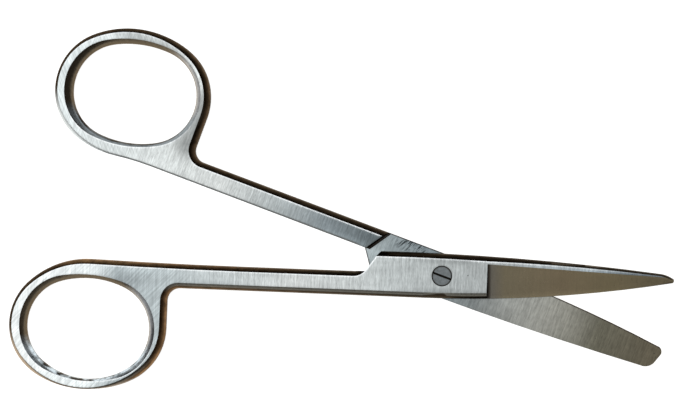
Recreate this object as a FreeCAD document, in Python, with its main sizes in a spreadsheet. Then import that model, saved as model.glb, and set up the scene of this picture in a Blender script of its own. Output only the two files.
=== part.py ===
import FreeCAD, Part
import math
import os
import Sketcher

# Straight scissors with one pointed and one blunt blade, joined by a slotted screw.
# Each half is modelled in its own frame, in millimetres: the screw axis is Z, the blade runs
# along +X, the finger ring lies at -X, the spine of the blade is on the +Y side, its cutting
# edge on the -Y side, and the lap face that meets the other half is the plane Z = 0.

Vector = FreeCAD.Vector
doc = FreeCAD.newDocument("scissors")

sizes = doc.addObject("Spreadsheet::Sheet", "sizes")
driving = {
    # both halves
    "thickness": 4.2,
    "open_angle": 18.4,
    "lap_gap": 0.06,
    "crown_depth": 1.12,
    "crown_skim": 0.02,
    "crown_run_out": 0.1,
    "overrun": 1.0,
    "spine_start": -8.0,
    "crotch_radius": 2.6,
    "neck_slope": 55.0,
    "neck_fillet": 2.2,
    "neck_run_back": 6.5,
    "shoulder_fillet": 0.62,
    "shoulder_clearance": 0.47,
    "heel_distance": 9.4,
    "land_at_heel": 0.58,
    "land_at_tip": 0.5,
    "bevel_at_heel": 13.0,
    "spine_at_tip": 1.45,
    # pointed half
    "pointed_inner_edge": 0.43,
    "pointed_outer_edge": 4.65,
    "pointed_neck_back": 13.43,
    "pointed_spine_height": 4.78,
    "pointed_spine_radius": 540.0,
    "pointed_nose_radius": 6.0,
    "pointed_edge_start": -4.0,
    "pointed_blade_length": 47.65,
    "pointed_tip_height": 0.82,
    "pointed_tip_radius": 0.55,
    "pointed_bevel_at_tip": 24.0,
    "pointed_ring_back": 75.05,
    "pointed_bend_radius": 1200.0,
    "pointed_ring_rise": 0.45,
    "pointed_ring_half_length": 16.87,
    "pointed_ring_half_width_inside": 14.1,
    "pointed_ring_half_width_outside": 13.35,
    "pointed_ring_end_radius": 12.1,
    "pointed_ring_tilt": 0.0,
    "pointed_ease_inside": 0.0,
    "pointed_ease_behind": 0.45,
    "pointed_ease_outside": 0.85,
    "pointed_hole_back": 75.1,
    "pointed_hole_drop": 0.35,
    "pointed_hole_half_length": 13.25,
    "pointed_hole_half_width_inside": 10.3,
    "pointed_hole_half_width_outside": 10.8,
    "pointed_hole_end_radius": 9.65,
    "pointed_hole_tilt": 3.5,
    "pointed_flare_back": 74.9,
    "pointed_flare_half_length": 14.8,
    "pointed_flare_half_width_inside": 11.15,
    "pointed_flare_half_width_outside": 11.35,
    "pointed_flare_end_radius": 10.7,
    "pointed_flare_tilt": 4.0,
    # blunt half
    "blunt_inner_edge": 0.14,
    "blunt_outer_edge": 4.52,
    "blunt_neck_back": 14.45,
    "blunt_spine_height": 4.5,
    "blunt_spine_radius": 810.0,
    "blunt_edge_start": 9.4,
    "blunt_edge_radius": 295.0,
    "blunt_blade_length": 47.65,
    "blunt_end_lean": 20.0,
    "blunt_spine_corner": 2.4,
    "blunt_edge_corner": 1.2,
    "blunt_bevel_at_tip": 14.5,
    "blunt_ring_back": 75.3,
    "blunt_bend_radius": 60.0,
    "blunt_ring_rise": 0.7,
    "blunt_ring_half_length": 16.8,
    "blunt_ring_half_width_inside": 13.5,
    "blunt_ring_half_width_outside": 13.72,
    "blunt_ring_end_radius": 12.6,
    "blunt_ring_tilt": 9.0,
    "blunt_ease_inside": 0.8,
    "blunt_ease_behind": 0.45,
    "blunt_ease_outside": 0.2,
    "blunt_hole_back": 75.05,
    "blunt_hole_drop": 0.2,
    "blunt_hole_half_length": 13.35,
    "blunt_hole_half_width_inside": 10.45,
    "blunt_hole_half_width_outside": 10.4,
    "blunt_hole_end_radius": 9.95,
    "blunt_hole_tilt": 11.0,
    "blunt_flare_back": 75.2,
    "blunt_flare_half_length": 14.95,
    "blunt_flare_half_width_inside": 11.38,
    "blunt_flare_half_width_outside": 11.4,
    "blunt_flare_end_radius": 10.75,
    "blunt_flare_tilt": 11.0,
    # screw and its holes
    "head_diameter": 4.25,
    "head_height": 1.1,
    "neck_diameter": 3.0,
    "thread_diameter": 2.5,
    "screw_edge_break": 0.12,
    "slot_width": 0.45,
    "slot_depth": 0.6,
    "running_clearance": 0.03,
    "seat_clearance": 0.02,
}
for row, (alias, value) in enumerate(driving.items(), start=1):
    sizes.set(f"A{row}", alias)
    sizes.set(f"B{row}", str(value))
    sizes.setAlias(f"B{row}", alias)
doc.recompute()


def size(alias):
    """The formula that reads one driving dimension."""
    return f"<<sizes>>.{alias}"


def number(formula):
    """The present value of a formula, for laying out a sketch before it is solved."""
    return float(sizes.evalExpression(formula))


# Sketch helpers

def sketchOn(body, name, role, offset=None):
    """An empty sketch on one of the body's own planes, raised by an offset formula."""
    plane = [item for item in body.Origin.OriginFeatures if item.Role == role][0]
    sketch = body.newObject("Sketcher::SketchObject", name)
    sketch.AttachmentSupport = [(plane, "")]
    sketch.MapMode = "FlatFace"
    if offset:
        sketch.setExpression("AttachmentOffset.Base.z", offset)
    return sketch


def drive(sketch, name, formula, kind, *place):
    """A named dimension of the sketch that follows a formula of the sheet."""
    value = number(formula)
    if kind == "Angle":
        value = math.radians(value)
    index = sketch.addConstraint(Sketcher.Constraint(kind, *place, value))
    sketch.renameConstraint(index, name)
    sketch.setExpression(f"Constraints.{name}", formula)


def join(sketch, first, firstEnd, second, secondEnd, kind="Tangent"):
    """Two pieces of the outline meet, smoothly unless said otherwise."""
    sketch.addConstraint(Sketcher.Constraint(kind, first, firstEnd, second, secondEnd))


def arc(centre, radius, first, last):
    """An arc that runs anticlockwise from the first point to the last."""
    start = math.atan2(first.y - centre.y, first.x - centre.x)
    end = math.atan2(last.y - centre.y, last.x - centre.x)
    return Part.ArcOfCircle(Part.Circle(centre, Vector(0, 0, 1), radius), start, end)


def towards(centre, radius, other, sign=1):
    """The point at the radius from the centre, on the line through the other point."""
    way = (other - centre).normalize()
    return centre + way * (sign * radius)


START = 1
END = 2
CENTRE = 3
ORIGIN = (-1, 1)

# Pieces of the outline, in the order they are drawn
(innerLine, neckArc, neckLine, outerLine, crotchArc, frontLine,
 frontArc, outArc, rearArc, inArc, bendArc) = range(11)


def sideRadius(halfLength, halfWidth, endRadius):
    """Radius of the long arc of a four-centre oval."""
    return (f"({halfLength}^2 + {halfWidth}^2 - 2 * {halfLength} * {endRadius})"
            f" / (2 * ({halfWidth} - {endRadius}))")


unchanged = ("0", "0", "0")


class Oval:
    """A four-centre oval: where its centre lies and the formulas of its arcs.

    The easing grows it inside, behind and outside, and leaves its front end where it is.
    """

    def __init__(self, half, part, centreY, easing=unchanged):
        easeInside, easeBehind, easeOutside = easing
        reach = f"({size(f'{half}_{part}_half_length')} + {easeBehind} / 2)"
        inside = f"({size(f'{half}_{part}_half_width_inside')} + {easeInside})"
        outside = f"({size(f'{half}_{part}_half_width_outside')} + {easeOutside})"
        tilt = size(f"{half}_{part}_tilt")
        self.endRadius = size(f"{half}_{part}_end_radius")
        self.inRadius = sideRadius(reach, inside, self.endRadius)
        self.outRadius = sideRadius(reach, outside, self.endRadius)
        back = f"({size(f'{half}_{part}_back')} + {easeBehind} / 2)"
        spread = f"({reach} - {self.endRadius})"
        lift = f"({self.inRadius} - {inside})"
        self.inTop = f"({self.inRadius} - {lift} * cos({tilt}))"
        # Distances of the arc centres behind and below the screw axis
        self.frontX = f"{back} - {spread} * cos({tilt})"
        self.rearX = f"{back} + {spread} * cos({tilt})"
        self.inX = f"{back} + {lift} * sin({tilt})"
        self.frontY = f"{centreY} + {spread} * sin({tilt})"
        self.rearY = f"{centreY} - {spread} * sin({tilt})"
        self.inY = f"{centreY} + {lift} * cos({tilt})"
        sink = f"({self.outRadius} - {outside})"
        self.outX = f"{back} - {sink} * sin({tilt})"
        self.outY = f"{centreY} - {sink} * cos({tilt})"

    def centres(self):
        pairs = ((self.inX, self.inY), (self.rearX, self.rearY),
                 (self.outX, self.outY), (self.frontX, self.frontY))
        return [Vector(-number(x), -number(y), 0) for x, y in pairs]


def ringCentre(half):
    """How far the finger ring's centre lies below the screw axis."""
    draft = Oval(half, "ring", "0")
    return f"({draft.inTop} - {size(half + '_inner_edge')} - {size(half + '_ring_rise')})"


def crownInset():
    """How far the crowned side wall has drawn in where it meets the flat face."""
    return f"({size('crown_skim')} + {size('crown_depth')})"


def crownRadius():
    """Radius of the crown that draws in by its depth over half the thickness."""
    depth = size("crown_depth")
    return f"((({size('thickness')} / 2)^2 + {depth}^2) / (2 * {depth}))"


def drawOutline(body, name, half, drawBlade, easing=unchanged):
    """The silhouette of one half: finger ring, shank, box and blade."""
    sketch = sketchOn(body, name, "XY_Plane")
    inner = f"({size(f'{half}_inner_edge')} + {easing[0]})"
    outer = size(f"{half}_outer_edge")
    oval = Oval(half, "ring", ringCentre(half), easing)
    inCentre, rearCentre, outCentre, frontCentre = oval.centres()
    inRadius = number(oval.inRadius)
    outRadius = number(oval.outRadius)
    endRadius = number(oval.endRadius)
    low = -number(outer)
    high = number(inner)

    # Bend from the shank's inner edge into the ring, and crotch on its outer edge
    bend = number(size(f"{half}_bend_radius"))
    rise = high + bend - inCentre.y
    bendCentre = Vector(inCentre.x + math.sqrt((inRadius + bend) ** 2 - rise ** 2), high + bend, 0)
    crotch = number(size("crotch_radius"))
    crotchCentre = Vector(frontCentre.x + endRadius + crotch, low - crotch, 0)

    # Neck wall, which leans forward from the shank up to the box
    slope = math.radians(number(size("neck_slope")))
    along = Vector(math.cos(slope), math.sin(slope), 0)
    outward = Vector(-math.sin(slope), math.cos(slope), 0)
    neckOut = f"({size(half + '_neck_back')} + {crownInset()})"
    foot = outward * number(neckOut)
    fillet = number(size("neck_fillet"))
    neckX = foot.x + (fillet - (high + fillet - foot.y) * outward.y) / outward.x
    neckCentre = Vector(neckX, high + fillet, 0)
    neckTop = neckCentre - outward * fillet

    # Spine of the blade and back of the box, one long arc
    spineRadius = number(size(f"{half}_spine_radius"))
    spineHeight = size(f"{half}_spine_height")
    spineCentre = Vector(number(size("spine_start")), number(spineHeight) - spineRadius, 0)
    away = spineCentre - foot
    reach = away.dot(along)
    corner = foot + along * (reach + math.sqrt(reach ** 2 - away.dot(away) + spineRadius ** 2))

    bendEnd = Vector(bendCentre.x, high, 0)
    neckStart = Vector(neckX, high, 0)
    edgeStart = Vector(number(size(f"{half}_edge_start")), low, 0)
    crotchStart = Vector(crotchCentre.x, low, 0)
    bendStart = towards(inCentre, inRadius, bendCentre)
    rearTop = towards(rearCentre, endRadius, inCentre, -1)
    rearFoot = towards(rearCentre, endRadius, outCentre, -1)
    frontFoot = towards(frontCentre, endRadius, outCentre, -1)
    crotchEnd = crotchCentre - Vector(crotch, 0, 0)
    frontStart = frontCentre + Vector(endRadius, 0, 0)

    sketch.addGeometry([
        Part.LineSegment(bendEnd, neckStart),
        arc(neckCentre, fillet, neckStart, neckTop),
        Part.LineSegment(neckTop, corner),
        Part.LineSegment(edgeStart, crotchStart),
        arc(crotchCentre, crotch, crotchStart, crotchEnd),
        Part.LineSegment(crotchEnd, frontStart),
        arc(frontCentre, endRadius, frontFoot, frontStart),
        arc(outCentre, outRadius, rearFoot, frontFoot),
        arc(rearCentre, endRadius, rearTop, rearFoot),
        arc(inCentre, inRadius, bendStart, rearTop),
        arc(bendCentre, bend, bendStart, bendEnd),
    ], False)
    for pair in ((innerLine, END, neckArc, START), (neckArc, END, neckLine, START),
                 (outerLine, END, crotchArc, START), (crotchArc, END, frontLine, START),
                 (frontLine, END, frontArc, END),
                 (frontArc, START, outArc, END), (outArc, START, rearArc, END),
                 (rearArc, START, inArc, END), (inArc, START, bendArc, START),
                 (bendArc, END, innerLine, START)):
        join(sketch, *pair)
    sketch.addConstraint(Sketcher.Constraint("Horizontal", innerLine))
    sketch.addConstraint(Sketcher.Constraint("Horizontal", outerLine))
    sketch.addConstraint(Sketcher.Constraint("Vertical", frontLine))
    drive(sketch, "inner_edge", inner, "DistanceY", *ORIGIN, innerLine, START)
    drive(sketch, "outer_edge", outer, "DistanceY", outerLine, START, *ORIGIN)
    drive(sketch, "neck_slope", size("neck_slope"), "Angle", -1, START, neckLine, START)
    drive(sketch, "neck_place", neckOut, "Distance", *ORIGIN, neckLine)
    for name, piece, radius in (("neck_fillet", neckArc, size("neck_fillet")),
                                ("crotch", crotchArc, size("crotch_radius")),
                                ("front_end", frontArc, oval.endRadius),
                                ("ring_outside", outArc, oval.outRadius),
                                ("rear_end", rearArc, oval.endRadius),
                                ("ring_inside", inArc, oval.inRadius),
                                ("bend", bendArc, size(f"{half}_bend_radius"))):
        drive(sketch, name, radius, "Radius", piece)
    drive(sketch, "front_x", oval.frontX, "DistanceX", frontArc, CENTRE, *ORIGIN)
    drive(sketch, "front_y", oval.frontY, "DistanceY", frontArc, CENTRE, *ORIGIN)
    drive(sketch, "rear_x", oval.rearX, "DistanceX", rearArc, CENTRE, *ORIGIN)
    drive(sketch, "rear_y", oval.rearY, "DistanceY", rearArc, CENTRE, *ORIGIN)
    drive(sketch, "inside_x", oval.inX, "DistanceX", inArc, CENTRE, *ORIGIN)
    spines, edge = drawBlade(sketch, half, spineCentre, spineRadius, corner, edgeStart)
    finishOutline(sketch, half, spines[0], edge)
    return sketch, spines, edge


def drawPointedBlade(sketch, half, spineCentre, spineRadius, corner, edgeStart):
    """The spine falls over a nose to a small round tip, and the cutting edge rises to it."""
    length = size(f"{half}_blade_length")
    tip = size(f"{half}_tip_radius")
    tipRadius = number(tip)
    tipCentre = Vector(number(length) - tipRadius, number(size(f"{half}_tip_height")), 0)
    reach = tipCentre.x - edgeStart.x
    climb = tipCentre.y - edgeStart.y
    edgeRadius = (reach ** 2 + climb ** 2 - tipRadius ** 2) / (2 * (climb - tipRadius))
    edgeCentre = Vector(edgeStart.x, edgeStart.y + edgeRadius, 0)

    # The nose touches the spine's arc and the tip's from inside
    noseRadius = number(size(f"{half}_nose_radius"))
    toSpine = spineRadius - noseRadius
    toTip = noseRadius - tipRadius
    way = (spineCentre - tipCentre).normalize()
    gap = (spineCentre - tipCentre).Length
    along = (gap ** 2 + toTip ** 2 - toSpine ** 2) / (2 * gap)
    aside = math.sqrt(toTip ** 2 - along ** 2)
    noseCentre = tipCentre + way * along + Vector(way.y, -way.x, 0) * aside
    spineEnd = towards(noseCentre, noseRadius, spineCentre, -1)
    noseEnd = towards(tipCentre, tipRadius, noseCentre, -1)
    edgeEnd = towards(tipCentre, tipRadius, edgeCentre, -1)
    spine, nose, tipArc, edge = sketch.addGeometry([
        arc(spineCentre, spineRadius, spineEnd, corner),
        arc(noseCentre, noseRadius, noseEnd, spineEnd),
        arc(tipCentre, tipRadius, edgeEnd, noseEnd),
        arc(edgeCentre, edgeRadius, edgeStart, edgeEnd),
    ], False)
    join(sketch, spine, START, nose, END)
    join(sketch, nose, START, tipArc, END)
    join(sketch, tipArc, START, edge, END)
    drive(sketch, "nose_radius", size(f"{half}_nose_radius"), "Radius", nose)
    drive(sketch, "tip_radius", tip, "Radius", tipArc)
    drive(sketch, "tip_place", f"{length} - {tip}", "DistanceX", *ORIGIN, tipArc, CENTRE)
    drive(sketch, "tip_height", size(f"{half}_tip_height"), "DistanceY", *ORIGIN, tipArc, CENTRE)
    return (spine, nose), edge


def drawBluntBlade(sketch, half, spineCentre, spineRadius, corner, edgeStart):
    """The blade ends in a leaning flat with a large round above and a small one below."""
    length = size(f"{half}_blade_length")
    spineCorner = size(f"{half}_spine_corner")
    edgeCorner = size(f"{half}_edge_corner")
    large = number(spineCorner)
    small = number(edgeCorner)
    edgeRadius = number(size(f"{half}_edge_radius"))
    edgeCentre = Vector(edgeStart.x, edgeStart.y + edgeRadius, 0)
    lean = math.radians(number(size(f"{half}_end_lean")))
    outward = Vector(math.cos(lean), math.sin(lean), 0)
    upward = Vector(-math.sin(lean), math.cos(lean), 0)
    smallX = number(length) - small
    smallY = edgeCentre.y - math.sqrt((edgeRadius - small) ** 2 - (smallX - edgeCentre.x) ** 2)
    smallCentre = Vector(smallX, smallY, 0)
    start = smallCentre + outward * (small - large)
    away = spineCentre - start
    reach = away.dot(upward)
    climb = reach + math.sqrt(reach ** 2 - away.dot(away) + (spineRadius - large) ** 2)
    largeCentre = start + upward * climb
    spineEnd = towards(largeCentre, large, spineCentre, -1)
    endTop = largeCentre + outward * large
    endFoot = smallCentre + outward * small
    edgeEnd = towards(smallCentre, small, edgeCentre, -1)
    spine, roundTop, endLine, roundFoot, edge = sketch.addGeometry([
        arc(spineCentre, spineRadius, spineEnd, corner),
        arc(largeCentre, large, endTop, spineEnd),
        Part.LineSegment(endFoot, endTop),
        arc(smallCentre, small, edgeEnd, endFoot),
        arc(edgeCentre, edgeRadius, edgeStart, edgeEnd),
    ], False)
    join(sketch, spine, START, roundTop, END)
    join(sketch, roundTop, START, endLine, END)
    join(sketch, endLine, START, roundFoot, END)
    join(sketch, roundFoot, START, edge, END)
    drive(sketch, "spine_corner", spineCorner, "Radius", roundTop)
    drive(sketch, "edge_corner", edgeCorner, "Radius", roundFoot)
    drive(sketch, "edge_radius", size(f"{half}_edge_radius"), "Radius", edge)
    drive(sketch, "end_lean", f"90 + {size(half + '_end_lean')}", "Angle", endLine)
    drive(sketch, "end_place", f"{length} - {edgeCorner}", "DistanceX", *ORIGIN, roundFoot, CENTRE)
    return (spine,), edge


def finishOutline(sketch, half, spine, edge):
    """Joins the blade to the box and drives the spine."""
    radius = size(f"{half}_spine_radius")
    height = size(f"{half}_spine_height")
    join(sketch, neckLine, END, spine, END, "Coincident")
    join(sketch, edge, START, outerLine, START)
    drive(sketch, "spine_radius", radius, "Radius", spine)
    drive(sketch, "spine_x", size("spine_start"), "DistanceX", *ORIGIN, spine, CENTRE)
    drive(sketch, "spine_y", f"{radius} - {height}", "DistanceY", spine, CENTRE, *ORIGIN)
    drive(sketch, "edge_x", size(f"{half}_edge_start"), "DistanceX", *ORIGIN, edge, CENTRE)


def drawHole(body, name, half, part, level):
    """One section of the finger hole, a four-centre oval a little below the ring's middle."""
    sketch = sketchOn(body, name, "XY_Plane", level)
    oval = Oval(half, part, f"({ringCentre(half)} + {size(half + '_hole_drop')})")
    inCentre, rearCentre, outCentre, frontCentre = oval.centres()
    inRadius = number(oval.inRadius)
    outRadius = number(oval.outRadius)
    endRadius = number(oval.endRadius)
    frontTop = towards(frontCentre, endRadius, inCentre, -1)
    rearTop = towards(rearCentre, endRadius, inCentre, -1)
    rearFoot = towards(rearCentre, endRadius, outCentre, -1)
    frontFoot = towards(frontCentre, endRadius, outCentre, -1)
    ring = sketch.addGeometry([
        arc(inCentre, inRadius, frontTop, rearTop),
        arc(rearCentre, endRadius, rearTop, rearFoot),
        arc(outCentre, outRadius, rearFoot, frontFoot),
        arc(frontCentre, endRadius, frontFoot, frontTop),
    ], False)
    for piece, following in zip(ring, ring[1:] + ring[:1]):
        join(sketch, piece, END, following, START)
    inside, rear, outside, front = ring
    drive(sketch, "inside", oval.inRadius, "Radius", inside)
    drive(sketch, "outside", oval.outRadius, "Radius", outside)
    drive(sketch, "rear_end", oval.endRadius, "Radius", rear)
    drive(sketch, "front_end", oval.endRadius, "Radius", front)
    drive(sketch, "front_x", oval.frontX, "DistanceX", front, CENTRE, *ORIGIN)
    drive(sketch, "front_y", oval.frontY, "DistanceY", front, CENTRE, *ORIGIN)
    drive(sketch, "rear_x", oval.rearX, "DistanceX", rear, CENTRE, *ORIGIN)
    drive(sketch, "rear_y", oval.rearY, "DistanceY", rear, CENTRE, *ORIGIN)
    return sketch


def drawPolygon(sketch, corners):
    """A closed polygon whose corners are pairs of formulas, measured from the origin."""
    points = [Vector(number(x), number(y), 0) for x, y in corners]
    following = points[1:] + points[:1]
    lines = sketch.addGeometry([Part.LineSegment(a, b) for a, b in zip(points, following)], False)
    for place, (line, nextLine) in enumerate(zip(lines, lines[1:] + lines[:1])):
        join(sketch, line, END, nextLine, START, "Coincident")
        for kind, formula in zip(("DistanceX", "DistanceY"), corners[place]):
            drive(sketch, f"{kind}_{place}", formula, kind, *ORIGIN, line, START)


def drawCrown(body, name, role, offset, wall, side):
    """The shape taken off a side wall: it leaves the wall crowned, fullest at mid-thickness.

    wall is the formula of the outline's place in the sketch, and side is 1 where the metal
    lies towards larger values and -1 where it lies towards smaller ones.
    """
    sketch = sketchOn(body, name, role, offset)
    sign = "+" if side > 0 else "-"
    away = "-" if side > 0 else "+"
    radius = number(crownRadius())
    centreFormula = f"({wall}) {sign} ({size('crown_skim')} + {crownRadius()})"
    runOut = f"({size('thickness')} / 2 + {size('crown_run_out')})"
    outside = f"({wall}) {away} {size('overrun')}"
    centre = Vector(number(centreFormula), 0, 0)
    half = number(runOut)
    across = math.sqrt(radius ** 2 - half ** 2)
    top = Vector(centre.x - side * across, half, 0)
    foot = Vector(centre.x - side * across, -half, 0)
    farTop = Vector(number(outside), half, 0)
    farFoot = Vector(number(outside), -half, 0)
    first, last = (top, foot) if side > 0 else (foot, top)
    curve, topLine, farLine, footLine = sketch.addGeometry([
        arc(centre, radius, first, last),
        Part.LineSegment(top, farTop),
        Part.LineSegment(farTop, farFoot),
        Part.LineSegment(farFoot, foot),
    ], False)
    topEnd, footEnd = (START, END) if side > 0 else (END, START)
    join(sketch, curve, topEnd, topLine, START, "Coincident")
    join(sketch, topLine, END, farLine, START, "Coincident")
    join(sketch, farLine, END, footLine, START, "Coincident")
    join(sketch, footLine, END, curve, footEnd, "Coincident")
    for line in (topLine, footLine):
        sketch.addConstraint(Sketcher.Constraint("Horizontal", line))
    sketch.addConstraint(Sketcher.Constraint("Vertical", farLine))
    sketch.addConstraint(Sketcher.Constraint("PointOnObject", curve, CENTRE, -1))
    drive(sketch, "crown_radius", crownRadius(), "Radius", curve)
    drive(sketch, "centre", centreFormula, "DistanceX", *ORIGIN, curve, CENTRE)
    drive(sketch, "top", runOut, "DistanceY", *ORIGIN, topLine, START)
    drive(sketch, "foot", runOut, "DistanceY", footLine, START, *ORIGIN)
    drive(sketch, "outside", outside, "DistanceX", *ORIGIN, farLine, START)
    return sketch


def sweepAway(body, name, profile, path, edges):
    """Takes the profile off along the path, keeping it upright."""
    cut = body.newObject("PartDesign::SubtractivePipe", name)
    cut.Profile = profile
    cut.Spine = (path, edges)
    cut.Mode = "Binormal"
    cut.Binormal = Vector(0, 0, 1)
    return cut


def edgeNames(sketch, indices):
    """Names of the edges that lie on the given pieces of a sketch."""
    names = []
    for index in indices:
        piece = sketch.Geometry[index]
        middle = piece.value((piece.FirstParameter + piece.LastParameter) / 2)
        gaps = [edge.distToShape(Part.Vertex(middle))[0] for edge in sketch.Shape.Edges]
        names.append(f"Edge{gaps.index(min(gaps)) + 1}")
    return names


def drawStep(body, name, slope, wall, level, fillet, depth, far):
    """The lap cut seen along its shoulder, where the wall meets the lap face in a fillet."""
    sketch = sketchOn(body, name, "XZ_Plane")
    turn = f"90 - {slope}"
    sketch.AttachmentOffset = FreeCAD.Placement(Vector(), FreeCAD.Rotation(Vector(0, 1, 0), number(turn)))
    sketch.setExpression("AttachmentOffset.Rotation.Angle", turn)
    left = -number(wall)
    top = number(level)
    low = -number(depth)
    right = number(far)
    radius = number(fillet)
    wallFoot = Vector(left, low, 0)
    wallTop = Vector(left, top - radius, 0)
    centre = Vector(left + radius, top - radius, 0)
    faceStart = Vector(left + radius, top, 0)
    faceEnd = Vector(right, top, 0)
    farFoot = Vector(right, low, 0)
    wallLine, curve, faceLine, farLine, footLine = sketch.addGeometry([
        Part.LineSegment(wallFoot, wallTop),
        arc(centre, radius, faceStart, wallTop),
        Part.LineSegment(faceStart, faceEnd),
        Part.LineSegment(faceEnd, farFoot),
        Part.LineSegment(farFoot, wallFoot),
    ], False)
    join(sketch, wallLine, END, curve, END)
    join(sketch, curve, START, faceLine, START)
    join(sketch, faceLine, END, farLine, START, "Coincident")
    join(sketch, farLine, END, footLine, START, "Coincident")
    join(sketch, footLine, END, wallLine, START, "Coincident")
    for line in (wallLine, farLine):
        sketch.addConstraint(Sketcher.Constraint("Vertical", line))
    for line in (faceLine, footLine):
        sketch.addConstraint(Sketcher.Constraint("Horizontal", line))
    drive(sketch, "fillet", fillet, "Radius", curve)
    drive(sketch, "wall", wall, "DistanceX", wallLine, START, *ORIGIN)
    drive(sketch, "level", level, "DistanceY", *ORIGIN, faceLine, END)
    drive(sketch, "depth", depth, "DistanceY", footLine, START, *ORIGIN)
    drive(sketch, "far", far, "DistanceX", *ORIGIN, farLine, START)
    return sketch


def cutPocket(body, name, sketch, length, both=False):
    """Removes the sketch's area below its plane, or to both sides of it."""
    pocket = body.newObject("PartDesign::Pocket", name)
    pocket.Profile = sketch
    pocket.SideType = "Symmetric" if both else "One side"
    pocket.setExpression("Length", length)
    return pocket


def buildHalf(half, other, drawBlade):
    """One half, from its silhouette to the bevel of its blade."""
    body = doc.addObject("PartDesign::Body", half + "_half")
    body.Label = half + "_half"
    thickness = size("thickness")
    overrun = size("overrun")
    through = f"2 * {thickness}"

    outline = drawOutline(body, f"{half}_outline", half, drawBlade)[0]
    blank = body.newObject("PartDesign::Pad", f"{half}_blank")
    blank.Profile = outline
    blank.SideType = "Symmetric"
    blank.setExpression("Length", thickness)

    # Finger hole: narrowest at mid-thickness and flared to both faces, more at some sides
    flareLevel = f"({thickness} / 2 + {size('crown_run_out')})"
    opening = body.newObject("PartDesign::SubtractiveLoft", f"{half}_finger_opening")
    opening.Profile = drawHole(body, f"{half}_upper_flare", half, "flare", flareLevel)
    opening.Sections = [drawHole(body, f"{half}_finger_hole", half, "hole", "0"),
                        drawHole(body, f"{half}_lower_flare", half, "flare", f"-{flareLevel}")]

    # Crowned walls: round the outside from the cutting edge to the neck, and along the spine.
    # The path keeps off the wall where the crown only takes the corner off it
    easing = [size(f"{half}_ease_{side}") for side in ("inside", "behind", "outside")]
    path, pathSpines, pathEdge = drawOutline(body, f"{half}_crown_path", half, drawBlade, easing)
    outsideCrown = drawCrown(body, f"{half}_outside_crown", "YZ_Plane", size(f"{half}_edge_start"),
                             f"-({size(half + '_outer_edge')})", 1)
    spineCrown = drawCrown(body, f"{half}_spine_crown", "YZ_Plane", size("spine_start"),
                           size(f"{half}_spine_height"), -1)
    doc.recompute()
    around = edgeNames(path, (pathEdge, outerLine, crotchArc, frontLine, frontArc, outArc, rearArc,
                              inArc, bendArc, innerLine, neckArc, neckLine))
    sweepAway(body, f"{half}_outside_wall", outsideCrown, path, around)
    sweepAway(body, f"{half}_spine_wall", spineCrown, path, edgeNames(path, pathSpines))

    # Neck: an upright wall, ground along a line set back from the screw
    inner = size(f"{half}_inner_edge")
    slope = size("neck_slope")
    neck = size(f"{half}_neck_back")
    top = f"({size(half + '_spine_height')} + {overrun})"
    left = f"-({neck} + {size('neck_run_back')})"

    def neckAt(place):
        return f"-({neck} - {place} * cos({slope})) / sin({slope})"

    neckCut = sketchOn(body, f"{half}_neck_cut", "XY_Plane")
    drawPolygon(neckCut, ((neckAt(inner), inner), (neckAt(top), top), (left, top), (left, inner)))
    cutPocket(body, f"{half}_neck", neckCut, through, both=True)

    # Lap: half the thickness goes, from the shoulder to the tip, with a filleted shoulder
    outer = size(f"{half}_outer_edge")
    height = size(f"{half}_spine_height")
    wall = f"({size(other + '_neck_back')} + {size('shoulder_clearance')})"
    length = size(f"{half}_blade_length")
    lapLevel = f"({size('lap_gap')} / 2)"
    lapCut = drawStep(body, f"{half}_lap_cut", slope, wall, lapLevel, size("shoulder_fillet"),
                      thickness, length)
    cutPocket(body, f"{half}_lap", lapCut, f"2 * {length}", both=True)

    # The shoulder stops at the shank's inner edge, so the other shank can close beside it
    relief = sketchOn(body, f"{half}_relief_cut", "XY_Plane", lapLevel)
    drawPolygon(relief, ((left, inner), ("0", inner), ("0", top), (left, top)))
    cutPocket(body, f"{half}_relief", relief, thickness)

    # Blade: it thins from heel to tip, and its outer side is ground down to the cutting edge
    heel = size("heel_distance")
    past = f"({length} + {overrun})"
    face = f"({thickness} / 2)"
    fall = f"(({face} - {size('spine_at_tip')}) / ({length} - {heel}))"
    landEnd = f"({face} - {fall} * ({past} - {heel}))"
    above = f"({face} + {overrun})"
    taperCut = sketchOn(body, f"{half}_taper_cut", "XZ_Plane")
    drawPolygon(taperCut, ((heel, face), (past, landEnd), (past, above), (heel, above)))
    cutPocket(body, f"{half}_taper", taperCut, through, both=True)

    radius = size(f"{half}_spine_radius")

    def spineAt(x):
        return f"({height} - ({x} - {size('spine_start')})^2 / (2 * {radius}))"

    landAtHeel = f"({spineAt(heel)} - {crownInset()} - {size('land_at_heel')})"
    landAtTip = f"({spineAt(past)} - {size('land_at_tip')})"
    ends = []
    sections = (("heel", heel, landAtHeel, face, size("bevel_at_heel")),
                ("tip", past, landAtTip, landEnd, size(f"{half}_bevel_at_tip")))
    for name, place, land, level, angle in sections:
        section = sketchOn(body, f"{half}_bevel_at_{name}", "YZ_Plane", place)
        low = f"({level} - ({land} + {outer}) * tan({angle}))"
        drawPolygon(section, ((land, level), (f"-{outer}", low), (f"-{outer}", above), (land, above)))
        ends.append(section)
    bevel = body.newObject("PartDesign::SubtractiveLoft", f"{half}_bevel")
    bevel.Profile = ends[0]
    bevel.Sections = [ends[1]]
    bevel.Ruled = True
    return body


def drawCircle(body, name, offset, diameter):
    """A circle about the screw axis."""
    sketch = sketchOn(body, name, "XY_Plane", offset)
    circle = sketch.addGeometry(Part.Circle(Vector(), Vector(0, 0, 1), number(diameter) / 2), False)
    sketch.addConstraint(Sketcher.Constraint("Coincident", circle, CENTRE, *ORIGIN))
    drive(sketch, "diameter", diameter, "Diameter", circle)
    return sketch


pointed = buildHalf("pointed", "blunt", drawPointedBlade)
blunt = buildHalf("blunt", "pointed", drawBluntBlade)

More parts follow.
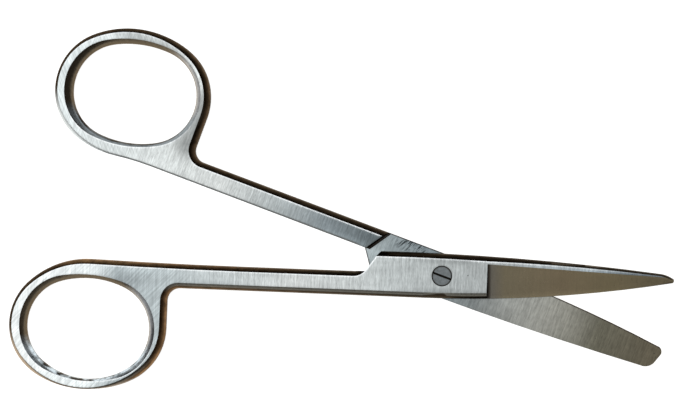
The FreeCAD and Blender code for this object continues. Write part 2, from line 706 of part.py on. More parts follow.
# Screw holes: the pointed half turns on the screw and sinks its head, and the blunt half
# holds its thread
face = f"{size('thickness')} / 2"
running = f"2 * {size('running_clearance')}"
clearHole = drawCircle(pointed, "clear_hole", face, f"{size('neck_diameter')} + {running}")
cutPocket(pointed, "pointed_clear_hole", clearHole, size("thickness"))
headSeat = drawCircle(pointed, "head_seat", face, f"{size('head_diameter')} + {running}")
cutPocket(pointed, "pointed_head_seat", headSeat, f"{size('head_height')} + {size('seat_clearance')}")
threadHole = drawCircle(blunt, "thread_hole", face,
                        f"{size('thread_diameter')} + 2 * {size('seat_clearance')}")
cutPocket(blunt, "blunt_thread_hole", threadHole, size("thickness"))


def buildScrew():
    """Flush slotted head, a plain neck to turn on, and a thread down to the back face."""
    body = doc.addObject("PartDesign::Body", "pivot_screw")
    body.Label = "pivot_screw"
    face = f"({size('thickness')} / 2)"
    head = f"({size('head_diameter')} / 2)"
    neck = f"({size('neck_diameter')} / 2)"
    thread = f"({size('thread_diameter')} / 2)"
    breakEdge = size("screw_edge_break")
    seat = f"({face} - {size('head_height')})"
    section = sketchOn(body, "screw_section", "XZ_Plane")
    drawPolygon(section, (("0", f"-{face}"), (f"{thread} - {breakEdge}", f"-{face}"),
                          (thread, f"-{face} + {breakEdge}"), (thread, "0"), (neck, "0"), (neck, seat),
                          (head, seat), (head, f"{face} - {breakEdge}"), (f"{head} - {breakEdge}", face),
                          ("0", face)))
    turned = body.newObject("PartDesign::Revolution", "turned")
    turned.Profile = section
    turned.ReferenceAxis = (section, ["V_Axis"])
    turned.Angle = 360
    slot = sketchOn(body, "slot_section", "XY_Plane", face)
    end = f"({head} + {size('overrun')})"
    side = f"({size('slot_width')} / 2)"
    drawPolygon(slot, ((f"-{end}", f"-{side}"), (end, f"-{side}"), (end, side), (f"-{end}", side)))
    cutPocket(body, "slot", slot, size("slot_depth"))
    return body


screw = buildScrew()

# Assembly: the pointed half lies along the frame with the blunt half turned over beneath it
halfAngle = f"{size('open_angle')} / 2"
lift = f"create(<<vector>>; 0; 0; {size('thickness')} / 2)"
upright = "create(<<vector>>; 0; 0; 1)"
turnLine = f"create(<<vector>>; cos({halfAngle}); -sin({halfAngle}); 0)"
places = ((pointed, f"create(<<rotation>>; {upright}; 0)"),
          (blunt, f"create(<<rotation>>; {turnLine}; 180)"),
          (screw, f"create(<<rotation>>; {upright}; -{size('open_angle')})"))
for body, turn in places:
    body.setExpression("Placement", f"create(<<placement>>; {lift}; {turn})")
doc.recompute()

# Every object must have built before anything is written
for item in doc.Objects:
    if "Invalid" in item.State or "Error" in item.State:
        raise RuntimeError(f"{item.Label} did not build: {item.State}")
for body in (pointed, blunt, screw):
    if body.Shape.isNull() or not body.Shape.isValid() or len(body.Shape.Solids) != 1:
        raise RuntimeError(f"{body.Label} is not one sound solid")

os.makedirs("parts", exist_ok=True)
for body in (pointed, blunt, screw):
    body.Shape.exportStep(f"parts/{body.Label}.step")
    print(body.Label, round(body.Shape.Volume, 1), "cubic millimetres")
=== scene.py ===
import math

import bpy
from mathutils import Matrix, Vector

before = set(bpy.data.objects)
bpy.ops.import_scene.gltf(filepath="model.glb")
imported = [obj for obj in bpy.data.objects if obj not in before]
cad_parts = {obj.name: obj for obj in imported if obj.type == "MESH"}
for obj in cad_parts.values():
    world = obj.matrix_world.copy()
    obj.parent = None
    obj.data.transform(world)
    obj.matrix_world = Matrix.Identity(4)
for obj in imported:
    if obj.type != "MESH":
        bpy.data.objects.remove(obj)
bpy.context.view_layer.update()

print("frame loaded:", ", ".join(sorted(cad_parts)))

mm = 0.001


def linear(colour):
    parts = [int(colour[place:place + 2], 16) / 255 for place in (1, 3, 5)]
    return [part / 12.92 if part <= 0.04045 else ((part + 0.055) / 1.055) ** 2.4 for part in parts] + [1.0]


def addNode(tree, kind, inputs=(), stops=(), **settings):
    node = tree.nodes.new(kind)
    for name, value in settings.items():
        setattr(node, name, value)
    for name, value in dict(inputs).items():
        if isinstance(value, bpy.types.Node):           # a node stands for its first output in use
            value = next(output for output in value.outputs if output.enabled)
        if isinstance(value, bpy.types.NodeSocket):
            tree.links.new(value, node.inputs[name])
        else:
            node.inputs[name].default_value = value
    for place, (position, colour) in enumerate(stops):  # only a colour ramp has stops
        ramp = node.color_ramp.elements
        stop = ramp[place] if place < 2 else ramp.new(position)
        stop.position = position
        stop.color = linear(colour)
    return node


def newMaterial(name):
    material = bpy.data.materials.new(name)
    material.use_nodes = True
    tree = material.node_tree
    tree.nodes.clear()
    shader = addNode(tree, "ShaderNodeBsdfPrincipled")
    addNode(tree, "ShaderNodeOutputMaterial", {"Surface": shader})
    return material, tree, shader


# The two halves: forged stainless steel, ground on a fine belt and then filed by hand round the
# rings. The eye gets a satin face with fine lines across it, and darker side walls. Smooth steel
# mostly mirrors what is round it, so the faces' tones, the walls' brown, the bevel's brown-grey and
# the dark and bright bands are painted reflections and shade, by place and by which way a wall faces.
# Distances are in mm along the half, from the screw towards the blade's tip, and across it.

pointedHalf = {
    "node": "pointed_half",
    "turn": 0.0,                        # degrees, the way its blade points
    "spineSide": 1,                     # the spine lies towards +Y
    # Painted reflection and shade: the face's, lap's and side walls' tones along the half
    "faceReflectionTones": [(-92, "#e9eeee"), (-74.5, "#dde4e5"), (-69, "#a8b2b5"), (-58, "#b0b9bb"),
                  (-30, "#c3c7c6"), (-12, "#b6bcbc"), (9, "#a0a5a5"), (30, "#98a3a8"), (39, "#626c72"),
                  (47, "#454b4f")],
    "lapReflectionTones": [(-14, "#9aa2a4"), (10, "#b4b6b2"), (30, "#9d9c92"), (47, "#7b756a")],
    "wallReflectionTones": [(-84, "#5e4a36"), (-76, "#9c7a55"), (-56, "#6f543a"), (-20, "#41362a"), (-8, "#33291f"),
                  (30, "#14110f"), (47, "#100e0c")],
    # Painted light: the one side wall drawn lighter than the rest: the way it faces, along and across, and
    # where it starts
    "litWall": {"facing": (-0.45, -0.89), "behind": -64, "tone": "#b3a18c"},
    "fileMarks": (-50, -58),            # they come in between these two places
    "hole": (-75.1, -13.9, 13.3, 10.6), # the finger hole's centre and half sizes
    "holeGlint": 1.0,                   # how bright the painted highlight on the finger hole's lower wall is
    # Painted light and shade: soft patches, lighter or darker than the face round them: centre, half sizes,
    # how light
    "lightAndShadePatches": [(-68, -3.4, 7, 1.9, 0.8), (-33, -2.2, 13, 1.0, 1.05), (-50, -3.6, 9, 1.2, 0.9),
                (-62, -1.0, 6, 0.9, 1.15), (1, 3.2, 8, 0.9, 0.72), (1, -3.2, 9, 0.9, 0.76)],
    "scuffs": [],                       # scratched patches: centre and half sizes
    "pits": [(5.4, 0.3, 0.16), (-24.6, -1.2, 0.1)],     # centre and radius
}

bluntHalf = {
    "node": "blunt_half",
    "turn": -18.4,
    "spineSide": -1,
    # Painted reflection, light and shade as on the pointed half: the tones along it, the lighter side wall,
    # the finger hole's highlight and the patches
    "faceReflectionTones": [(-92, "#dce4e5"), (-76, "#cbd1d1"), (-62, "#d3d8d7"), (-50, "#c4c8c7"),
                  (-38, "#a8afb0"), (-27, "#7e878b"), (-16, "#5e676a"), (47, "#8c8f8c")],
    "lapReflectionTones": [(-16, "#9aa4a6"), (-4, "#7b868b"), (8, "#777c7c"), (15, "#8f918d"), (24, "#8c8c85"),
                 (34, "#615f53"), (47, "#5c5648")],
    "wallReflectionTones": [(-92, "#5c4a38"), (-50, "#453729"), (-16, "#362c22"), (47, "#5e4a34")],
    "litWall": {"facing": (-0.2, 0.98), "behind": -13.5, "tone": "#d4d9d9"},
    "fileMarks": (-66, -72),
    "hole": (-75.1, -13.0, 13.4, 10.5),
    "holeGlint": 0.12,
    "lightAndShadePatches": [(-59.5, -13, 3.5, 8, 0.5), (-76, -25, 13, 3, 0.76), (-60, -6.5, 4, 3.6, 0.6),
                (-20, 0.2, 9, 1.4, 1.35), (14, 4.2, 6, 1.6, 0.85), (8, -1, 5, 3.2, 0.88)],
    "scuffs": [(-8.3, -3.4, 4.0, 1.4)],
    "pits": [(46.3, -0.5, 0.15), (46.8, 0.1, 0.13), (34.0, 0.9, 0.1)],
}

steel = {
    "length": (-92, 48),                # mm, where the tones start and end
    "lapLevel": 2.1,                    # mm, the height of the lap faces
    "outerFrom": (0.3, 0.6),            # mm from the lap faces, where the outer faces' tones start
    "flatTilt": (0.984, 0.994),         # how level a surface is: above this it is a face
    "groundTilt": (0.86, 0.89),         # above this it is ground, below it is a side wall
    # Painted reflection: the bevel's brown-grey along the blade, with painted shade in a dark line at its
    # heel
    "bevelReflectionTones": [(9.4, "#1c1916"), (9.7, "#211e1a"), (9.85, "#6a6760"), (13, "#78705c"), (25, "#877a62"),
                   (36, "#9f9273"), (47, "#a6997c")],
    "roughness": 0.33,
    "roughSpread": 0.06,
    "edgeTint": "#d6d0c8",              # what the metal turns to where it is seen edge-on
    # Sizes of the patterns in mm along the half, across it and in height. The real belt lines are
    # a tenth as wide and would not show
    "grainSize": (0.22, 1.1, 3),
    "bandSize": (0.36, 6, 5),           # the belt's wider bands
    "cloudSize": (9, 2.6, 5),
    "fileSize": (5.0, 0.34),            # mm along and across a file mark, coarser than the real ones
    "fileLean": 47,                     # degrees from the half's length
    "grainDepth": 0.012,                # mm
    "grainShade": (0.78, 1.22),         # how dark and how light each pattern makes the face
    "bandShade": (0.82, 1.18),
    "cloudShade": (0.9, 1.1),
    "bevelCalm": 0.75,                  # how much fainter the patterns are on the bevel
    # A painted highlight on the faces' edges that face the light, and a painted shade line on the others
    "highlightReach": 0.6,                    # mm, how far in from an edge the painted highlight reaches
    "highlightShare": (0.9, 0.1),            # how strong it is at the box and near the tip
    "highlightFades": (12, 42),
    "highlightTone": "#f0f5f7",
    "roundScrew": (2.7, 3.2),           # mm from the screw's axis, where the painted highlight comes in
    "nearShare": 0.2,                   # how strong the painted shade line is on the near side
    "shadeLineTone": "#2b241c",
    "scuffTone": "#1f2528",
    "scuffSize": (1.9, 0.24),           # mm along and across a scratch
    "scuffLean": 62,                    # degrees
    "scuffShare": 0.95,
    "pitShare": 0.75,
    # Painted reflection on the shoulder's fillet
    "filletReflectionTone": "#8d847a",
    "filletHeight": (0.62, 0.55),       # mm from the lap faces
    "filletTilt": (0.33, 0.45),
    "wallStreakShade": (0.6, 1.5),          # how dark and how light the streaks in the outside walls' painted reflection are
    "nearCrownSheen": "#98968c",             # painted reflection where the near wall rounds over to the face
    "crownTilt": (0.55, 0.86),
    # Painted reflection and shade on a side wall, from its upright middle (0) to the face's edge (0.83):
    # how light it is outside, and its colours inside the finger hole behind, in front and below
    "outsideReflectionBands": [(0.0, "#b0b0b0"), (0.16, "#ffffff"), (0.36, "#e0e0e0"), (0.5, "#9c9c9c"),
                     (0.85, "#888888")],
    "holeBehindReflection": [(0.0, "#6b5a45"), (0.3, "#594d3c"), (0.6, "#63594a"), (0.76, "#4a4238"),
                   (0.85, "#332d27")],
    "holeFrontReflection": [(0.0, "#8a7864"), (0.35, "#8f8579"), (0.6, "#b3b1ad"), (0.74, "#8f9194"),
                  (0.85, "#4c4d4f")],
    "holeBelowReflection": [(0.0, "#7c5a38"), (0.1, "#3a2c20"), (0.2, "#171614"), (0.46, "#1c1c1c"),
                  (0.54, "#747c81"), (0.74, "#8f989c"), (0.79, "#34393c"), (0.85, "#34393c")],
    "holeGlintTone": "#cfdbe2",            # the painted highlight on its lower wall
    "holeEdge": (1.19, 1.16),           # share of the hole's half sizes, where its wall ends
}


def readHalf(tree, half):
    # Where a point lies on the half, in mm, and which way the surface faces there
    turn = math.radians(half["turn"])
    side = half["spineSide"]
    forward = (math.cos(turn), math.sin(turn), 0)
    spineward = (-math.sin(turn) * side, math.cos(turn) * side, 0)
    at = {"forward": forward, "spineward": spineward}
    place = addNode(tree, "ShaderNodeTexCoord")
    inMm = addNode(tree, "ShaderNodeVectorMath", {0: place.outputs["Object"], "Scale": 1 / mm},
                   operation="SCALE")
    for name, way in (("along", forward), ("across", spineward), ("height", (0, 0, 1))):
        at[name] = addNode(tree, "ShaderNodeVectorMath", {0: inMm, 1: way}, operation="DOT_PRODUCT")
    at["spot"] = addNode(tree, "ShaderNodeCombineXYZ",
                         {"X": at["along"], "Y": at["across"], "Z": at["height"]})
    at["flatSpot"] = addNode(tree, "ShaderNodeVectorMath", {0: at["spot"], 1: (1, 1, 0)},
                             operation="MULTIPLY")
    up = addNode(tree, "ShaderNodeVectorMath", {0: place.outputs["Normal"], 1: (0, 0, 1)},
                 operation="DOT_PRODUCT")
    at["tilt"] = addNode(tree, "ShaderNodeMath", {0: up}, operation="ABSOLUTE")
    for name, (low, high) in (("flat", steel["flatTilt"]), ("ground", steel["groundTilt"])):
        at[name] = addNode(tree, "ShaderNodeMapRange",
                           {"Value": at["tilt"], "From Min": low, "From Max": high})
    fromLap = addNode(tree, "ShaderNodeMath", {0: at["height"], 1: steel["lapLevel"]},
                      operation="SUBTRACT")
    at["fromLap"] = addNode(tree, "ShaderNodeMath", {0: fromLap}, operation="ABSOLUTE")
    low, high = steel["outerFrom"]
    at["outer"] = addNode(tree, "ShaderNodeMapRange",
                          {"Value": at["fromLap"], "From Min": low, "From Max": high})
    level = addNode(tree, "ShaderNodeVectorMath", {0: place.outputs["Normal"], 1: (1, 1, 0)},
                    operation="MULTIPLY")
    at["level"] = addNode(tree, "ShaderNodeVectorMath", {0: level}, operation="NORMALIZE")
    at["facing"] = addNode(tree, "ShaderNodeSeparateXYZ", {"Vector": at["level"]})
    return at


def fromCentre(tree, at, x, y, halfLong, halfWide):
    # How far out in an oval a point lies: 0 at its centre, 1 on its edge
    offset = addNode(tree, "ShaderNodeVectorMath", {0: at["spot"], 1: (x, y, 0)}, operation="SUBTRACT")
    offset = addNode(tree, "ShaderNodeVectorMath", {0: offset, 1: (1 / halfLong, 1 / halfWide, 0)},
                     operation="MULTIPLY")
    return addNode(tree, "ShaderNodeVectorMath", {0: offset}, operation="LENGTH")


def reflectionsAlong(tree, half, at):
    # Painted reflections and shade, from the bright rings to the darker blades
    start, end = steel["length"]
    share = addNode(tree, "ShaderNodeMapRange", {"Value": at["along"], "From Min": start, "From Max": end})
    tones = {}
    for part, stops in (("face", half["faceReflectionTones"]), ("lap", half["lapReflectionTones"]),
                        ("wall", half["wallReflectionTones"]), ("bevel", steel["bevelReflectionTones"])):
        stops = [((x - start) / (end - start), colour) for x, colour in stops]
        tones[part] = addNode(tree, "ShaderNodeValToRGB", {"Fac": share}, stops)
    return tones


def outsideWall(tree, half, at, wallReflection):
    # Painted reflections, brown and streaky, with painted light making one side of the half lighter than the
    # rest
    lit = half["litWall"]
    litX, litY = lit["facing"]
    litWay = [litX * x + litY * y for x, y in zip(at["forward"], at["spineward"])]
    toLight = addNode(tree, "ShaderNodeVectorMath", {0: at["level"], 1: litWay}, operation="DOT_PRODUCT")
    toLight = addNode(tree, "ShaderNodeMapRange", {"Value": toLight, "From Min": 0.45, "From Max": 0.9},
                      interpolation_type="SMOOTHSTEP")
    behind = addNode(tree, "ShaderNodeMapRange", {"Value": at["along"], "From Min": lit["behind"],
                                                  "From Max": lit["behind"] - 3})
    toLight = addNode(tree, "ShaderNodeMath", {0: toLight, 1: behind}, operation="MULTIPLY")
    outside = addNode(tree, "ShaderNodeValToRGB", {"Fac": at["tilt"]}, steel["outsideReflectionBands"])
    outside = addNode(tree, "ShaderNodeMix", {0: 1.0, 6: wallReflection, 7: outside}, data_type="RGBA",
                      blend_type="MULTIPLY")
    streaks = addNode(tree, "ShaderNodeTexNoise",
                     {"Vector": at["spot"], "Scale": 0.55, "Detail": 5.0, "Roughness": 0.7})
    dark, light = steel["wallStreakShade"]
    streaks = addNode(tree, "ShaderNodeMapRange", {"Value": streaks, "From Min": 0.35, "From Max": 0.65,
                                                  "To Min": dark, "To Max": light})
    outside = addNode(tree, "ShaderNodeVectorMath", {0: outside, "Scale": streaks}, operation="SCALE")

    nearSide = addNode(tree, "ShaderNodeMapRange",
                       {"Value": at["facing"].outputs["Y"], "From Min": -0.5, "From Max": -0.9})
    low, high = steel["crownTilt"]
    crownSheen = addNode(tree, "ShaderNodeMapRange", {"Value": at["tilt"], "From Min": low, "From Max": high})
    crownSheen = addNode(tree, "ShaderNodeMath", {0: crownSheen, 1: nearSide}, operation="MULTIPLY")
    outside = addNode(tree, "ShaderNodeMix", {0: crownSheen, 6: outside, 7: linear(steel["nearCrownSheen"])},
                      data_type="RGBA")
    return addNode(tree, "ShaderNodeMix", {0: toLight, 6: outside, 7: linear(lit["tone"])},
                   data_type="RGBA")


def holeWall(tree, half, at):
    # Inside the finger hole, painted reflection and shade: brown-grey behind, paler in front, dark below with
    # a painted highlight
    front = addNode(tree, "ShaderNodeMapRange",
                    {"Value": at["facing"].outputs["X"], "From Min": -0.3, "From Max": -0.85},
                    interpolation_type="SMOOTHSTEP")
    below = addNode(tree, "ShaderNodeMapRange",
                    {"Value": at["facing"].outputs["Y"], "From Min": 0.2, "From Max": 0.6},
                    interpolation_type="SMOOTHSTEP")
    holes = {}
    for part in ("holeBehindReflection", "holeFrontReflection", "holeBelowReflection"):
        holes[part] = addNode(tree, "ShaderNodeValToRGB", {"Fac": at["tilt"]}, steel[part])
    glint = addNode(tree, "ShaderNodeTexNoise",
                    {"Vector": at["spot"], "Scale": 0.33, "Detail": 4.0, "Roughness": 0.7})
    glint = addNode(tree, "ShaderNodeMapRange", {"Value": glint, "From Min": 0.42, "From Max": 0.58,
                                                 "To Max": half["holeGlint"]})
    lower = addNode(tree, "ShaderNodeMix",
                    {0: glint, 6: holes["holeBelowReflection"], 7: linear(steel["holeGlintTone"])}, data_type="RGBA")
    inside = addNode(tree, "ShaderNodeMix", {0: front, 6: holes["holeBehindReflection"], 7: holes["holeFrontReflection"]},
                     data_type="RGBA")
    return addNode(tree, "ShaderNodeMix", {0: below, 6: inside, 7: lower}, data_type="RGBA")


def sideWalls(tree, half, at, wallReflection):
    inHole = fromCentre(tree, at, *half["hole"])
    beyond, within = steel["holeEdge"]
    inHole = addNode(tree, "ShaderNodeMapRange", {"Value": inHole, "From Min": beyond, "From Max": within})
    outside = outsideWall(tree, half, at, wallReflection)
    inside = holeWall(tree, half, at)
    wall = addNode(tree, "ShaderNodeMix", {0: inHole, 6: outside, 7: inside}, data_type="RGBA")

    # The shoulder's fillet, just above the lap face, in a painted reflection tone
    low = {}
    for name, value, (start, end) in (("height", at["fromLap"], steel["filletHeight"]),
                                      ("tilt", at["tilt"], steel["filletTilt"])):
        low[name] = addNode(tree, "ShaderNodeMapRange", {"Value": value, "From Min": start, "From Max": end})
    fillet = addNode(tree, "ShaderNodeMath", {0: low["height"], 1: low["tilt"]}, operation="MULTIPLY")
    return addNode(tree, "ShaderNodeMix", {0: fillet, 6: wall, 7: linear(steel["filletReflectionTone"])},
                   data_type="RGBA")


def paintedEdgeLines(tree, at, colour):
    # A painted highlight along the face's far edge, and a painted shade line along its near edge and round
    # the lap
    rounded = addNode(tree, "ShaderNodeBevel", {"Radius": steel["highlightReach"] * mm}, samples=8)
    rounded = addNode(tree, "ShaderNodeVectorTransform", {"Vector": rounded}, vector_type="NORMAL",
                      convert_from="WORLD", convert_to="OBJECT")
    rounded = addNode(tree, "ShaderNodeSeparateXYZ", {"Vector": rounded})
    highlight = addNode(tree, "ShaderNodeMapRange",
                   {"Value": rounded.outputs["Y"], "From Min": 0.03, "From Max": 0.14})
    start, end = steel["highlightFades"]
    strong, faint = steel["highlightShare"]
    fading = addNode(tree, "ShaderNodeMapRange", {"Value": at["along"], "From Min": start, "From Max": end,
                                                  "To Min": strong, "To Max": faint})
    fromScrew = addNode(tree, "ShaderNodeVectorMath", {0: at["flatSpot"]}, operation="LENGTH")
    start, end = steel["roundScrew"]
    fromScrew = addNode(tree, "ShaderNodeMapRange", {"Value": fromScrew, "From Min": start, "From Max": end})
    for share in (at["outer"], at["flat"], fading, fromScrew):
        highlight = addNode(tree, "ShaderNodeMath", {0: highlight, 1: share}, operation="MULTIPLY")
    colour = addNode(tree, "ShaderNodeMix", {0: highlight, 6: colour, 7: linear(steel["highlightTone"])},
                     data_type="RGBA")

    near = addNode(tree, "ShaderNodeMapRange",
                   {"Value": rounded.outputs["Y"], "From Min": -0.03, "From Max": -0.2})
    for share in (at["outer"], steel["nearShare"]):
        near = addNode(tree, "ShaderNodeMath", {0: near, 1: share}, operation="MULTIPLY")
    back = addNode(tree, "ShaderNodeMath", {0: rounded.outputs["X"], 1: -1.0}, operation="MULTIPLY")
    shadeLine = addNode(tree, "ShaderNodeMath", {0: rounded.outputs["Y"], 1: back}, operation="MAXIMUM")
    shadeLine = addNode(tree, "ShaderNodeMapRange", {"Value": shadeLine, "From Min": 0.12, "From Max": 0.4})
    lapped = addNode(tree, "ShaderNodeMath", {0: 1.0, 1: at["outer"]}, operation="SUBTRACT")
    shadeLine = addNode(tree, "ShaderNodeMath", {0: shadeLine, 1: lapped, 2: near}, operation="MULTIPLY_ADD")
    return addNode(tree, "ShaderNodeMix", {0: shadeLine, 6: colour, 7: linear(steel["shadeLineTone"])},
                   data_type="RGBA")


def scratches(tree, half, at, colour):
    # Dark scratches on the lap face beside the shoulder, and a few pits
    scratchLong, scratchWide = steel["scuffSize"]
    marks = 0.0
    for scuff in half["scuffs"]:
        leant = addNode(tree, "ShaderNodeMapping",
                        {"Vector": at["spot"], "Rotation": (0, 0, math.radians(steel["scuffLean"]))})
        spread = addNode(tree, "ShaderNodeVectorMath", {0: leant, 1: (1 / scratchLong, 1 / scratchWide, 0.2)},
                         operation="MULTIPLY")
        lines = addNode(tree, "ShaderNodeTexNoise",
                        {"Vector": spread, "Scale": 1.0, "Detail": 3.0, "Distortion": 0.4})
        lines = addNode(tree, "ShaderNodeMapRange", {"Value": lines, "From Min": 0.5, "From Max": 0.58})
        patch = fromCentre(tree, at, *scuff)
        patch = addNode(tree, "ShaderNodeMapRange", {"Value": patch, "From Min": 1.25, "From Max": 0.5})
        for share in (patch, steel["scuffShare"]):
            lines = addNode(tree, "ShaderNodeMath", {0: lines, 1: share}, operation="MULTIPLY")
        marks = addNode(tree, "ShaderNodeMath", {0: marks, 1: lines}, operation="MAXIMUM")
    for pitX, pitY, pitRadius in half["pits"]:
        pit = addNode(tree, "ShaderNodeVectorMath", {0: at["flatSpot"], 1: (pitX, pitY, 0)},
                      operation="DISTANCE")
        pit = addNode(tree, "ShaderNodeMapRange", {"Value": pit, "From Min": pitRadius,
                                                   "From Max": pitRadius / 2, "To Max": steel["pitShare"]})
        marks = addNode(tree, "ShaderNodeMath", {0: marks, 1: pit}, operation="MAXIMUM")
    return addNode(tree, "ShaderNodeMix", {0: marks, 6: colour, 7: linear(steel["scuffTone"])},
                   data_type="RGBA")


def marksAndPaintedShade(tree, half, at):
    # Belt lines run across the half, fine ones within wider bands, and file marks lean across the
    # ring and its root. Gives the marks, and how light they and the painted patches of light and
    # shade leave the surface
    patterns = {}
    for part in ("grain", "band", "cloud"):
        spread = addNode(tree, "ShaderNodeVectorMath",
                         {0: at["spot"], 1: [1 / step for step in steel[part + "Size"]]},
                         operation="MULTIPLY")
        patterns[part] = addNode(tree, "ShaderNodeTexNoise", {"Vector": spread, "Scale": 1.0,
                                                              "Detail": 3.0, "Roughness": 0.6})
    leant = addNode(tree, "ShaderNodeMapping",
                    {"Vector": at["spot"], "Rotation": (0, 0, math.radians(-steel["fileLean"]))})
    fileLong, fileWide = steel["fileSize"]
    spread = addNode(tree, "ShaderNodeVectorMath", {0: leant, 1: (1 / fileLong, 1 / fileWide, 0.3)},
                     operation="MULTIPLY")
    filing = addNode(tree, "ShaderNodeTexNoise", {"Vector": spread, "Scale": 1.0, "Detail": 2.0})
    start, end = half["fileMarks"]
    filed = addNode(tree, "ShaderNodeMapRange", {"Value": at["along"], "From Min": start, "From Max": end},
                    interpolation_type="SMOOTHSTEP")
    grain = addNode(tree, "ShaderNodeMix", {0: filed, 2: patterns["grain"], 3: filing}, data_type="FLOAT")

    shades = []
    for pattern, (dark, light) in ((grain, steel["grainShade"]), (patterns["band"], steel["bandShade"]),
                                   (patterns["cloud"], steel["cloudShade"])):
        shades.append(addNode(tree, "ShaderNodeMapRange", {"Value": pattern, "From Min": 0.3,
                                                           "From Max": 0.7, "To Min": dark,
                                                           "To Max": light}))
    # Painted light and shade: soft patches lighten or darken the face
    for *oval, light in half["lightAndShadePatches"]:
        patch = fromCentre(tree, at, *oval)
        shades.append(addNode(tree, "ShaderNodeMapRange", {"Value": patch, "From Min": 1.3,
                                                           "From Max": 0.2, "To Min": 1.0,
                                                           "To Max": light},
                              interpolation_type="SMOOTHSTEP"))
    shade = shades[0]
    for other in shades[1:]:
        shade = addNode(tree, "ShaderNodeMath", {0: shade, 1: other}, operation="MULTIPLY")
    bevelled = addNode(tree, "ShaderNodeMath", {0: 1.0, 1: at["flat"]}, operation="SUBTRACT")
    bevelled = addNode(tree, "ShaderNodeMath", {0: bevelled, 1: steel["bevelCalm"]}, operation="MULTIPLY")
    shade = addNode(tree, "ShaderNodeMix", {0: bevelled, 2: shade, 3: 1.0}, data_type="FLOAT")
    shade = addNode(tree, "ShaderNodeMix", {0: at["ground"], 2: 1.0, 3: shade}, data_type="FLOAT")
    return grain, shade


def groundStainless(half):
    name = half["node"].replace("half", "half_ground_stainless_steel")
    material, tree, shader = newMaterial(name)
    shader.inputs["Metallic"].default_value = 1.0
    shader.inputs["Specular Tint"].default_value = linear(steel["edgeTint"])
    at = readHalf(tree, half)
    tones = reflectionsAlong(tree, half, at)
    colour = addNode(tree, "ShaderNodeMix", {0: at["outer"], 6: tones["lap"], 7: tones["face"]},
                     data_type="RGBA")
    colour = addNode(tree, "ShaderNodeMix", {0: at["flat"], 6: tones["bevel"], 7: colour},
                     data_type="RGBA")
    colour = paintedEdgeLines(tree, at, colour)
    colour = scratches(tree, half, at, colour)
    wall = sideWalls(tree, half, at, tones["wall"])
    colour = addNode(tree, "ShaderNodeMix", {0: at["ground"], 6: wall, 7: colour}, data_type="RGBA")
    grain, shade = marksAndPaintedShade(tree, half, at)
    colour = addNode(tree, "ShaderNodeVectorMath", {0: colour, "Scale": shade}, operation="SCALE")
    tree.links.new(colour.outputs["Vector"], shader.inputs["Base Color"])

    smooth = steel["roughness"] - steel["roughSpread"]
    coarse = steel["roughness"] + steel["roughSpread"]
    rough = addNode(tree, "ShaderNodeMapRange", {"Value": grain, "From Min": 0.3, "From Max": 0.7,
                                                 "To Min": smooth, "To Max": coarse})
    tree.links.new(rough.outputs["Result"], shader.inputs["Roughness"])
    bump = addNode(tree, "ShaderNodeBump",
                   {"Height": grain, "Strength": 1.0, "Distance": steel["grainDepth"] * mm})
    tree.links.new(bump.outputs["Normal"], shader.inputs["Normal"])
    return material


# The pivot: a slotted stainless screw turned on a lathe, so its grey head shows faint rings about
# its middle, with painted shade darkening its rim and its slot

screw = {
    "face": "#696e70",
    "rimShade": "#3b3936",
    "slot": "#15120f",
    "headRadius": 2.12,                 # mm
    "rimFrom": (0.42, 0.1),             # mm in from the head's edge, where the painted shade at the rim starts and is full
    "slotHeight": (4.16, 4.0),          # mm, where the painted shade in the slot starts and is full
    "ringWidth": 0.22,                  # mm between turning marks, drawn wider than they are
    "roughness": 0.34,
}


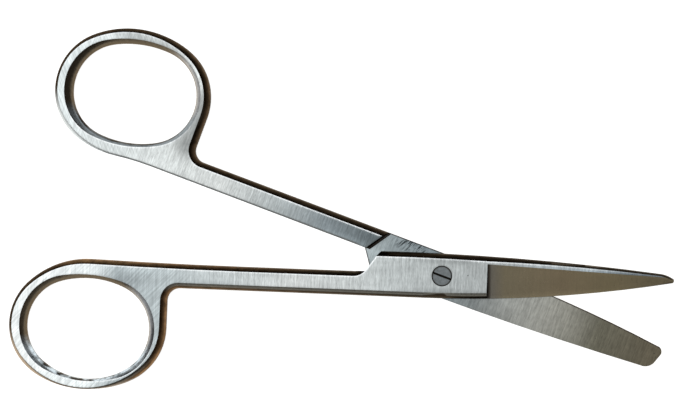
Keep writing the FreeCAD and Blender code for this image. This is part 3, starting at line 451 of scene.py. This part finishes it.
def turnedStainless():
    material, tree, shader = newMaterial("pivot_screw_turned_stainless_steel")
    shader.inputs["Metallic"].default_value = 1.0
    place = addNode(tree, "ShaderNodeTexCoord")
    inMm = addNode(tree, "ShaderNodeVectorMath", {0: place.outputs["Object"], "Scale": 1 / mm},
                   operation="SCALE")
    spot = addNode(tree, "ShaderNodeSeparateXYZ", {"Vector": inMm})
    level = addNode(tree, "ShaderNodeVectorMath", {0: inMm, 1: (1, 1, 0)}, operation="MULTIPLY")
    radius = addNode(tree, "ShaderNodeVectorMath", {0: level}, operation="LENGTH")
    rings = addNode(tree, "ShaderNodeMath", {0: radius, 1: 2 * math.pi / screw["ringWidth"]},
                    operation="MULTIPLY")
    rings = addNode(tree, "ShaderNodeMath", {0: rings}, operation="SINE")
    smear = addNode(tree, "ShaderNodeTexNoise",
                    {"Vector": inMm, "Scale": 1.6, "Detail": 4.0, "Roughness": 0.65})
    shade = addNode(tree, "ShaderNodeMapRange", {"Value": smear, "From Min": 0.3, "From Max": 0.7,
                                                 "To Min": 0.72, "To Max": 1.22})
    shade = addNode(tree, "ShaderNodeMath", {0: rings, 1: 0.07, 2: shade}, operation="MULTIPLY_ADD")
    rimStart, rimEnd = screw["rimFrom"]
    rimShade = addNode(tree, "ShaderNodeMapRange", {"Value": radius, "From Min": screw["headRadius"] - rimStart,
                                               "From Max": screw["headRadius"] - rimEnd},
                  interpolation_type="SMOOTHSTEP")
    colour = addNode(tree, "ShaderNodeMix", {0: rimShade, 6: linear(screw["face"]), 7: linear(screw["rimShade"])},
                     data_type="RGBA")
    colour = addNode(tree, "ShaderNodeVectorMath", {0: colour, "Scale": shade}, operation="SCALE")
    slotTop, slotDark = screw["slotHeight"]
    deep = addNode(tree, "ShaderNodeMapRange",
                   {"Value": spot.outputs["Z"], "From Min": slotTop, "From Max": slotDark})
    colour = addNode(tree, "ShaderNodeMix", {0: deep, 6: colour, 7: linear(screw["slot"])}, data_type="RGBA")
    tree.links.new(colour.outputs[2], shader.inputs["Base Color"])
    rough = addNode(tree, "ShaderNodeMapRange", {"Value": smear, "To Min": screw["roughness"] - 0.1,
                                                 "To Max": screw["roughness"] + 0.1})
    tree.links.new(rough.outputs["Result"], shader.inputs["Roughness"])
    bump = addNode(tree, "ShaderNodeBump", {"Height": rings, "Strength": 1.0, "Distance": 0.003 * mm})
    tree.links.new(bump.outputs["Normal"], shader.inputs["Normal"])
    return material


def dress(node, material):
    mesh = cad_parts[node].data
    if not mesh.materials:
        mesh.materials.append(material)
    for place in range(len(mesh.materials)):
        mesh.materials[place] = material


for half in (pointedHalf, bluntHalf):
    dress(half["node"], groundStainless(half))
dress("pivot_screw", turnedStainless())
print("steel dressed")


# Floor and light

stand = {
    "size": 3000,                       # mm
    "colour": "#f4f4f3",
    "glow": 0.85,                       # of white, to the eye and to mirror-like metal only
}

lights = {
    "worldColour": "#c8c8c8",
    "worldStrength": 0.35,
    "key": {"place": (-250, 150, 1200), "size": (1900, 1700), "power": 10.2, "colour": "#ffffff"},
}

camera = {
    "target": (-20.16, 13.98, 2.1),     # mm, what the middle of the picture looks at
    "distance": 650.0,                  # mm
    "leanRight": 9.5,                   # degrees off straight above, towards the picture's right
    "leanDown": 2.5,                    # degrees off straight above, towards the picture's foot
    "roll": 2.35,                       # degrees that the pointed half slopes down to the right
    "lens": 160.5,
}


def addFloor():
    bpy.ops.mesh.primitive_plane_add(size=stand["size"] * mm, location=(0, 0, -0.00005))
    floor = bpy.context.object
    floor.name = "floor"
    material, tree, shader = newMaterial("matt_white_card")
    shader.inputs["Base Color"].default_value = linear(stand["colour"])
    shader.inputs["Roughness"].default_value = 0.9
    rays = addNode(tree, "ShaderNodeLightPath")
    seen = rays.outputs["Is Camera Ray"]
    for other in ("Is Glossy Ray", "Is Transmission Ray"):
        seen = addNode(tree, "ShaderNodeMath", {0: seen, 1: rays.outputs[other]}, operation="MAXIMUM")
    glow = addNode(tree, "ShaderNodeMath", {0: seen, 1: stand["glow"]}, operation="MULTIPLY")
    shader.inputs["Emission Color"].default_value = linear("#ffffff")
    tree.links.new(glow.outputs["Value"], shader.inputs["Emission Strength"])
    floor.data.materials.append(material)


def addLamp(name, lamp):
    data = bpy.data.lights.new(name, "AREA")
    data.shape = "RECTANGLE"
    data.size = lamp["size"][0] * mm
    data.size_y = lamp["size"][1] * mm
    data.energy = lamp["power"]
    data.color = linear(lamp["colour"])[:3]
    thing = bpy.data.objects.new(name, data)
    bpy.context.scene.collection.objects.link(thing)
    thing.location = Vector(lamp["place"]) * mm
    thing.rotation_euler = (-thing.location).to_track_quat("-Z", "Y").to_euler()


def addWorld():
    world = bpy.data.worlds.new("studio")
    bpy.context.scene.world = world
    world.use_nodes = True
    background = world.node_tree.nodes["Background"]
    background.inputs["Color"].default_value = linear(lights["worldColour"])
    background.inputs["Strength"].default_value = lights["worldStrength"]


def addCamera():
    data = bpy.data.cameras.new("photo_camera")
    data.sensor_width = 36.0
    data.lens = camera["lens"]
    data.clip_end = 10.0
    thing = bpy.data.objects.new("photo_camera", data)
    bpy.context.scene.collection.objects.link(thing)
    roll = math.radians(camera["roll"])
    across = Vector((math.cos(roll), math.sin(roll), 0))
    upwards = Vector((-math.sin(roll), math.cos(roll), 0))
    back = (Vector((0, 0, 1)) + across * math.tan(math.radians(camera["leanRight"]))
            - upwards * math.tan(math.radians(camera["leanDown"]))).normalized()
    right = upwards.cross(back).normalized()
    top = back.cross(right)
    spot = (Vector(camera["target"]) + back * camera["distance"]) * mm
    thing.matrix_world = Matrix.Translation(spot) @ Matrix((right, top, back)).transposed().to_4x4()
    bpy.context.scene.camera = thing


addFloor()
addLamp("key", lights["key"])
addWorld()
addCamera()
bpy.context.scene.view_settings.view_transform = "Standard"
print("floor, lights and camera set")
